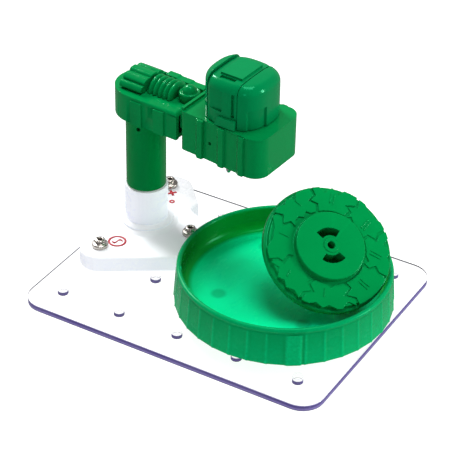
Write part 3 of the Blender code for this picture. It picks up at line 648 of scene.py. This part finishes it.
def build_forearm():
    """Tapered housing with three ribs a side, its lip, its neck and a dimple in its front."""
    side = [(FORE_START, -13.2, 2.0), (41.0, -13.8, 0), (FORE_END, -15.9, 6.5)]
    shell = prism("fore_housing", rounded(mirrored(side), 10), FORE_BOTTOM, FORE_TOP, ARM,
                  soft_top=1.3)
    ribs(shell, [(35.0, 37.0, 39.3, 13.4, 15.2), (46.1, 47.8, 50.0, 14.3, 15.7),
                 (56.2, 57.8, 59.9, 15.0, 16.3)], FORE_BOTTOM + 0.1, FORE_TOP - 0.2)
    join(shell, block("end_lip", (FORE_START, -12.4, 79.5), (FORE_START + 1.3, 9.5, 82.2), ARM))
    inner = [(FORE_START + WALL, -11.5, 1.5), (55.0, -12.6, 0), (FORE_END - WALL, -13.6, 5.0)]
    cut(shell, prism("fore_hollow", rounded(mirrored(inner)), 60, FORE_TOP - WALL, ARM))
    root = FORE_START + 1.0     # how far the tongue and the neck reach into the wall
    tongue = arc(ELBOW, 0, 6.0, 90, 270, 24) + [(root, -6.0), (root, 6.0)]
    join(shell, prism("tongue", tongue, 70.6, 75.4, ARM),
         block("neck", (FORE_START - 2.6, -9.6, 70.4), (root, 9.6, 76.0), ARM),
         block("neck_foot", (FORE_START - 0.4, -9.6, 67.9), (root, 9.6, 71.0), ARM))
    across = (ARM @ Matrix.Translation(Vector((DIMPLE[0], -12.6, DIMPLE[1])) * MM)
              @ Matrix.Rotation(math.radians(90), 4, "X"))
    cut(shell, lathe("dimple", [(0, 0), (0.75, 0), (0.75, 4), (0, 4)], across, segments=24))
    fit(soften(shell, 0.35, 3, 35), "forearm", "green", GREEN, "forearm_shell")


# ---------------------------------------------------------------------- arm's top pieces

def build_arm_details():
    """Barrel, bellows, rail and elbow cap with the photo's flutes, rings and steps."""
    section = []
    steps = 96
    for i in range(steps + 1):
        angle = math.pi * i / steps
        flute = 1 - 0.17 * (1 - abs(math.sin(5 * angle))) ** 2.2
        section.append((9.6 * math.cos(angle) * flute, DECK + 6.0 * math.sin(angle) * flute))
    barrel = prism("barrel", section, -6.6, 4.4, ARM, along="X")
    fit(soften(barrel, 0.7, 3, 50), "upper_arm", "green", GREEN, "actuator_barrel")

    rings, pitch, start = 5, 2.45, 5.2
    profile = [(0, start)]
    for i in range(rings):
        a = start + pitch * i
        profile += [(5.0, a + 0.05), (5.6, a + 0.22)]
        profile += [(5.85 + 0.75 * math.sin(math.radians(t)), a + 1.2 - 0.75 *
                     math.cos(math.radians(t))) for t in (20, 55, 90, 125, 160)]
        profile += [(5.6, a + 2.2), (5.0, a + 2.38)]
    profile.append((0, start + pitch * rings))
    boot = lathe("bellows", profile, ARM @ Matrix.Translation((0, 0, 77.6 * MM))
                 @ Matrix.Rotation(math.radians(90), 4, "Y"), segments=72)
    cut(boot, block("bellows_cut", (0, -10, 60), (30, 10, DECK), ARM))
    fit(boot, "upper_arm", "green", GREEN, "bellows_boot")

    plan = [(4.9, DECK), (4.9, 81.0), (10.4, 81.0), (11.2, 80.5), (17.0, 80.5), (17.8, 80.0),
            (24.4, 80.0), (24.4, DECK)]
    rail = prism("rail", plan, -11.0, -7.2, ARM @ Matrix.Rotation(math.radians(90), 4, "X"))
    fit(soften(rail, 0.35, 3), "upper_arm", "green", GREEN, "side_rail")

    dome = [(0, 85.0)] + [(3.15 * math.cos(t), 81.8 + 3.2 * math.sin(t))
                          for t in (math.radians(90 - 7.5 * i) for i in range(1, 12))]
    dome += arc(3.85, 81.65, 0.55, 150, 0, 6) + [(4.4, 81.0), (4.4, DECK), (0, DECK)]
    cap = lathe("elbow_dome", dome, ARM @ Matrix.Translation((ELBOW * MM, 0, 0)), segments=64)
    fit(cap, "upper_arm", "green", GREEN, "elbow_cap")


# ----------------------------------------------------------------------------- the head

def cap_profile():
    """Side of the motor cap from its top to its foot."""
    side = [(0, HEAD_TOP), (7.0, HEAD_TOP - 0.05), (9.2, HEAD_TOP - 0.35)]
    side += arc(8.9, 96.2, 4.4, 68, 4, 8)
    return side + [(HEAD_R, 94.0), (HEAD_R, 90.3), (HEAD_R, 90.1), (HEAD_R, CAP_FOOT)]


def cap_piece(name, start, stop, reach_x, power, lift=0.0, dent=None):
    """Slice of the cap between two distances from the motor's axis, along the arm."""
    def reach(r, angle, z):
        c, s = abs(math.cos(angle)), abs(math.sin(angle))
        out = r / (c ** power + s ** power) ** (1 / power)
        if dent and r > 12 and z < dent[0] and dent[1] < math.degrees(angle) - 360 < dent[2]:
            out -= dent[3]
        return out

    where = ARM @ Matrix.Translation((HEAD * MM, 0, 0))
    outer = [(r, z + (lift if z > 94 else 0)) for r, z in cap_profile()]
    inner = [(11.4, CAP_FOOT), (11.4, 95.0), (9.0, 98.6), (0, 98.8)]
    piece = lathe(name, outer + inner, where, 144, radius=reach)
    for vert in piece.data.vertices:
        vert.co.x *= reach_x / HEAD_R
    keep = block(name + "_slice", (start, -20, 70), (stop, 20, 110), where)
    return combine(piece, keep, "INTERSECT"), where


def side_prism(name, outline, near, far, where):
    """Outline drawn in arm distance and height, extruded across the arm."""
    turned_up = where @ Matrix.Rotation(math.radians(90), 4, "X")
    return prism(name, outline, -far, -near, turned_up)


def build_head():
    """Fin, middle block with its square pad, recesses and apron, and lobe."""
    fin, _ = cap_piece("cap_fin", -20, -8.7, 13.6, 2.6, 1.2)
    fit(soften(fin, 0.7, 3, 40), "forearm", "green", HEAD_GREEN, "head_fin")

    body, where = cap_piece("cap_block", -8.2, 6.3, 13.4, 2.6)
    join(body, block("pad", (-5.2, -7.2, 100.0), (5.0, 7.2, 101.5), where))
    cut(body, block("pad_slot", (-4.4, -9.6, 99.6), (2.8, -7.7, 103), where))
    cut(body, block("panel", (-7.4, -20, 87.4), (-0.4, -12.4, 96.6), where))
    cut(body, block("slot", (3.9, -20, 86.2), (5.3, -11.9, 96.6), where))
    cut(body, side_prism("corner", [(-9.0, 80.0), (-4.4, 80.0), (-9.0, 91.0)], -16.0, -12.3,
                         where))
    apron = [(-3.4, CAP_FOOT), (6.3, CAP_FOOT), (6.3, 85.4), (-1.8, 85.4)]
    join(body, side_prism("apron", apron, -14.3, -12.5, where))
    fit(soften(body, 0.4, 3, 35), "forearm", "green", HEAD_GREEN, "head_shell")

    lobe, _ = cap_piece("cap_lobe", 6.7, 20, 14.4, 2.9, dent=(90.2, -48, -14, 0.9))
    fit(soften(lobe, 0.5, 3, 40), "forearm", "green", HEAD_GREEN, "head_lobe")


# ------------------------------------------------------------------------ tray, spinner

def build_tray():
    """Faceted skirt with fine ridges, rolled rim, dished wall, floor with four sockets under
    it, whose shadows are painted in by the tray's material.
    """
    facets = 36
    floor, under = TRAY_FLOOR, TRAY_FLOOR - TRAY_FLOOR_T

    def reach(r, angle, z):
        if r < 43.6 or z > TRAY_RIM - 1.6:
            return r
        turn = (angle / (2 * math.pi) * facets) % 1.0
        flat = math.cos(math.pi / facets) / math.cos((turn - 0.5) * 2 * math.pi / facets)
        ridge = 0.20 * math.exp(-((min(turn, 1 - turn)) / 0.04) ** 2)
        tab = 0.5 if -60 < math.degrees(angle) - 360 < -52 and z < 20.4 else 0.0
        return r * flat + ridge - 0.22 + tab

    profile = [(0, floor)] + [(r, floor) for r in (10, 20, 30, 36)]
    profile += [(39.3 + 3.1 * math.sin(t), floor + 4.2 * (1 - math.cos(t)))
                for t in (math.radians(7.5 * i) for i in range(13))]
    mid, roll = (TRAY_R_TOP + TRAY_R_INSIDE) / 2, (TRAY_R_TOP - TRAY_R_INSIDE) / 2
    profile += arc(mid, TRAY_RIM - roll, roll, 180, -20, 14)
    profile += [(TRAY_R_TOP, TRAY_RIM - 2.0), (TRAY_R_TOP + 0.15, TRAY_RIM - 2.6),
                (TRAY_R_TOP + 0.2, 20.5), (TRAY_R_TOP + 0.2, 20.3)]
    profile += [(TRAY_R_BOTTOM - 0.1, TRAY_LOW.z + 0.5), (TRAY_R_BOTTOM - 0.4, TRAY_LOW.z),
                (TRAY_R_BOTTOM - 1.8, TRAY_LOW.z), (43.5, floor + 1.0), (42.6, floor + 1.0),
                (40.4, under), (32.1, under), (32.1, TRAY_LOW.z), (30.5, TRAY_LOW.z),
                (30.5, under), (0, under)]
    tray = lathe("tray_bowl", profile, TRAY_PLACE, segments=facets * 12, radius=reach)
    corners = ((-1, -1), (1, -1), (1, 1), (-1, 1))
    for k, (sx, sy) in enumerate(corners):
        at = TRAY_PLACE @ Matrix.Translation(Vector((sx * SOCKET, sy * SOCKET, 0)) * MM)
        sleeve = [(3.6, under + 0.5), (3.6, TRAY_LOW.z), (2.5, TRAY_LOW.z), (2.5, under + 0.5)]
        socket = lathe("tray_socket_%d" % (k + 1), sleeve, at, 32, closed=True)
        fit(socket, "tray", "tray_green", TRAY_GREEN)
    fit(soften(tray, 0.25, 2, 45), "tray", "tray_green", TRAY_GREEN, "tray")


RELIEF_IN, RELIEF_OUT = 15.9, 26.4
SEAM = 36                       # gap beside a seam: degrees times the radius


def relief_seam(rng, angle):
    """Zigzag seam between two plates, from the hub out, as (r, angle) pairs."""
    side = rng.choice((-1, 1))
    radii = (RELIEF_IN, rng.uniform(18.0, 19.2), rng.uniform(20.2, 21.2),
             rng.uniform(22.6, 23.6), RELIEF_OUT)
    swings = (0, rng.uniform(2, 4), rng.uniform(-5, -2), rng.uniform(2, 6), rng.uniform(1, 4))
    return [(r, angle + side * swing) for r, swing in zip(radii, swings)]


def relief_edge(rng, start, end, radius, depths):
    """Stepped inner or outer edge of a plate between two seams."""
    count = max(3, int((end - start) / 6))
    edge = []
    for i in range(1, count):
        angle = start + (end - start) * i / count
        edge.append((radius + rng.choice(depths), angle + rng.uniform(-1.5, 1.5)))
    return edge


def relief_plates(rng, where, low):
    """Jagged plates round the ring, each with one or two short raised bars."""
    count = 8
    seams = [relief_seam(rng, 360 * k / count + rng.uniform(-6, 6)) for k in range(count)]
    pieces = []
    for k in range(count):
        first = [(r, a + SEAM / r) for r, a in seams[k]]
        turn = 360 if k == count - 1 else 0
        second = [(r, a + turn - SEAM / r) for r, a in seams[(k + 1) % count]]
        outer = relief_edge(rng, first[-1][1], second[-1][1], RELIEF_OUT,
                            (0, 0, 0, 0, -1.5, -2.6))
        inner = relief_edge(rng, first[0][1], second[0][1], RELIEF_IN, (0, 0, 0, 1.6))
        polar = first + outer + second[::-1] + inner[::-1]
        plan = [(r * math.cos(math.radians(a)), r * math.sin(math.radians(a)))
                for r, a in polar]
        top = rng.choice((2.0, 2.15, 2.3))
        pieces.append(prism("relief_%d" % (k + 1), plan, low, top, where))
        r, a = rng.uniform(19.5, 22.5), math.radians(seams[k][0][1] + rng.uniform(14, 24))
        slope = a + rng.uniform(-0.5, 0.5)
        half = rng.uniform(1.6, 2.6)
        spot = where @ place(r * math.cos(a), r * math.sin(a), 0, slope)
        for n, shift in enumerate((-0.7, 0.7)[:rng.choice((1, 2))]):
            pieces.append(block("bar_%d_%d" % (k + 1, n + 1), (-half, shift - 0.22, low),
                                (half, shift + 0.22, top + 0.35), spot))
    return pieces


def build_spinner():
    """Disc with rim, sunk ring, jagged relief plates and a raised hub with two windows."""
    hub, step, under, bore = SPINNER_HUB, SPINNER_STEP, -SPINNER_T, 1.6
    edge = SPINNER_R - 0.6
    disc = [(bore, hub + 0.2), (bore + 0.2, hub + 0.4), (3.0, hub + 0.4), (3.3, hub + 0.1),
            (3.35, hub)] + arc(SPINNER_HUB_R - 0.6, hub - 0.6, 0.6, 80, 0, 4)
    disc += [(SPINNER_HUB_R + 0.15, step + 0.2), (SPINNER_HUB_R + 0.4, step),
             (25.0, step), (25.3, step - 0.2), (25.6, 0.1), (26.0, 0.0)]
    disc += arc(edge, -0.6, 0.6, 80, 0, 4)
    disc += arc(edge, under + 0.6, 0.6, 0, -90, 4) + [(bore, under)]
    plate = lathe("disc", disc, SPINNER, segments=144, closed=True)
    for name, turn in (("front", WINDOW_TURN), ("back", WINDOW_TURN + 180)):
        sector = (arc(0, 0, 7.7, turn - 41, turn + 41, 20)
                  + arc(0, 0, 4.3, turn + 41, turn - 41, 12))
        cut(plate, prism("window_" + name, sector, under - 2, hub + 2, SPINNER))
    fit(soften(plate, 0.15, 2, 40), "spinner", "green", DISC_GREEN, "spinner_disc")

    for piece in relief_plates(random.Random(5), SPINNER, step - 0.5):
        fit(soften(piece, 0.18, 3, 20), "spinner", "green", DISC_GREEN)


# ------------------------------------------------------------------------------ staging

def build_stage():
    """Pale floor that reflections leave out, soft lights and the camera."""
    floor = prism("floor", [(-3000, -3000), (3000, -3000), (3000, 3000), (-3000, 3000)],
                  -1.3, -0.3)
    mat, nodes, links, shader = shader_nodes("pale_floor")
    tone = noise(nodes, links, 3, 2, 0.5)
    links.new(ramp(nodes, links, tone, [(0.3, (0.24, 0.24, 0.24)), (0.7, (0.26, 0.26, 0.26))]),
              shader.inputs["Base Color"])
    shader.inputs["Roughness"].default_value = 0.9
    shader.inputs["Specular IOR Level"].default_value = 0.1
    shader.inputs["Emission Color"].default_value = (1, 1, 1, 1)
    shader.inputs["Emission Strength"].default_value = 0.97
    floor.data.materials.append(mat)
    floor.visible_glossy = False

    world = bpy.data.worlds.new("studio")
    bpy.context.scene.world = world
    world.use_nodes = True
    world.node_tree.nodes["Background"].inputs["Color"].default_value = (1, 1, 1, 1)
    world.node_tree.nodes["Background"].inputs["Strength"].default_value = 0.26

    def softbox(name, at, size, power, aim=(0, 0, 40)):
        """Rectangular lamp; place, size and aim in millimetres, power in watts."""
        data = bpy.data.lights.new(name, "AREA")
        data.shape = "RECTANGLE"
        data.size, data.size_y = size[0] * MM, size[1] * MM
        data.energy = power
        lamp = bpy.data.objects.new(name, data)
        bpy.context.scene.collection.objects.link(lamp)
        lamp.location = Vector(at) * MM
        lamp.rotation_euler = (Vector(aim) - Vector(at)).to_track_quat("-Z", "Y").to_euler()

    softbox("key", (-500, 230, 500), (210, 210), 5.0)
    softbox("top", (60, 40, 700), (300, 300), 3.3)
    softbox("right", (600, 250, 240), (120, 260), 2.6)
    softbox("front", (200, -620, 260), (120, 100), 0.5)

    data = bpy.data.cameras.new("camera")
    data.lens, data.sensor_width = 153.47, 36.0
    camera = bpy.data.objects.new("camera", data)
    bpy.context.scene.collection.objects.link(camera)
    azimuth, elevation, roll = math.radians(30.09), math.radians(34.16), math.radians(1.09)
    target, distance = Vector((-24.3, 37.2, 3.0)) * MM, 0.8442
    away = Vector((math.sin(azimuth) * math.cos(elevation),
                   -math.cos(azimuth) * math.cos(elevation), math.sin(elevation)))
    camera.matrix_world = (Matrix.Translation(target + away * distance)
                           @ away.to_track_quat("Z", "Y").to_matrix().to_4x4()
                           @ Matrix.Rotation(roll, 4, "Z"))
    bpy.context.scene.camera = camera
    bpy.context.scene.view_settings.view_transform = "Standard"


dress_nodes()
build_studs()
build_marks()
build_column()
build_upper_arm()
build_forearm()
build_arm_details()
build_head()
build_tray()
build_spinner()
build_stage()
